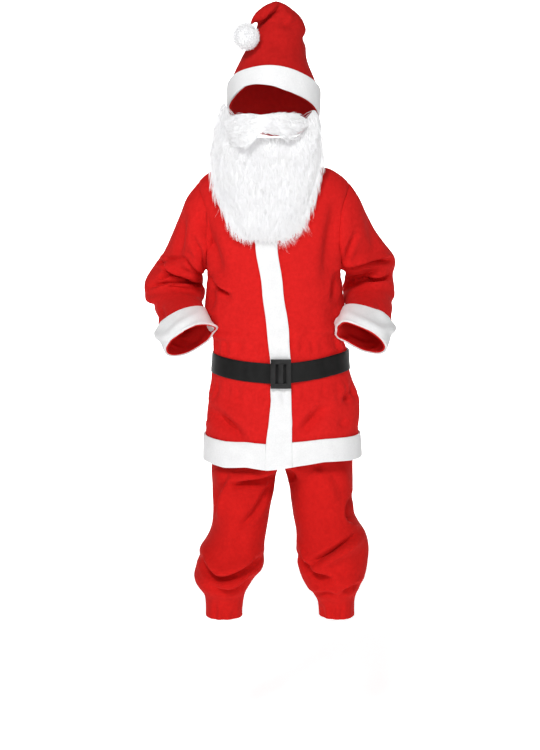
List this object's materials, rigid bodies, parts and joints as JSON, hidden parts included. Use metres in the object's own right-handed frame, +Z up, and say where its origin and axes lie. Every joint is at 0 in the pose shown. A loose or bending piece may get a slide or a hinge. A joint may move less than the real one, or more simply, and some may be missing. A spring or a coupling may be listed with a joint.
{
  "type": "santa suit",
  "caption": "Child-size Santa suit worn open and hollow: tall hat with brim and pompom, false beard and moustache, trimmed belted jacket with bent sleeves, and loose gathered trousers.",
  "frame": {"origin": "middle of the jacket's neck opening, at the height of the shoulders that carry it", "axes": "+Z up along the standing suit, -Y towards its front, +X towards the wearer's left"},
  "size_m": [0.509, 0.2998, 1.2105],
  "materials": {
    "red_felt": "brushed polyester felt, matt with a soft nap",
    "white_plush": "short white plush, matt",
    "white_fur": "long white synthetic fur, soft",
    "white_elastic": "woven elastic, matt",
    "black_strap": "black imitation leather, satin",
    "black_plastic": "moulded black plastic, satin"
  },
  "bodies": {
    "root": {"hat": "red_felt", "hat_brim": "white_plush", "hat_pompom": "white_fur", "beard": "white_fur", "moustache": "white_fur", "beard_elastic": "white_elastic", "jacket_front_left": "red_felt", "jacket_front_right": "red_felt", "jacket_back": "red_felt", "sleeve_left": "red_felt", "sleeve_right": "red_felt", "cuff_trim_left": "white_plush", "cuff_trim_right": "white_plush", "front_band": "white_plush", "hem_trim": "white_plush", "belt": "black_strap", "buckle": "black_plastic", "trouser_leg_left": "red_felt", "trouser_leg_right": "red_felt", "trouser_waistband": "red_felt"}
  },
  "joints": []
}
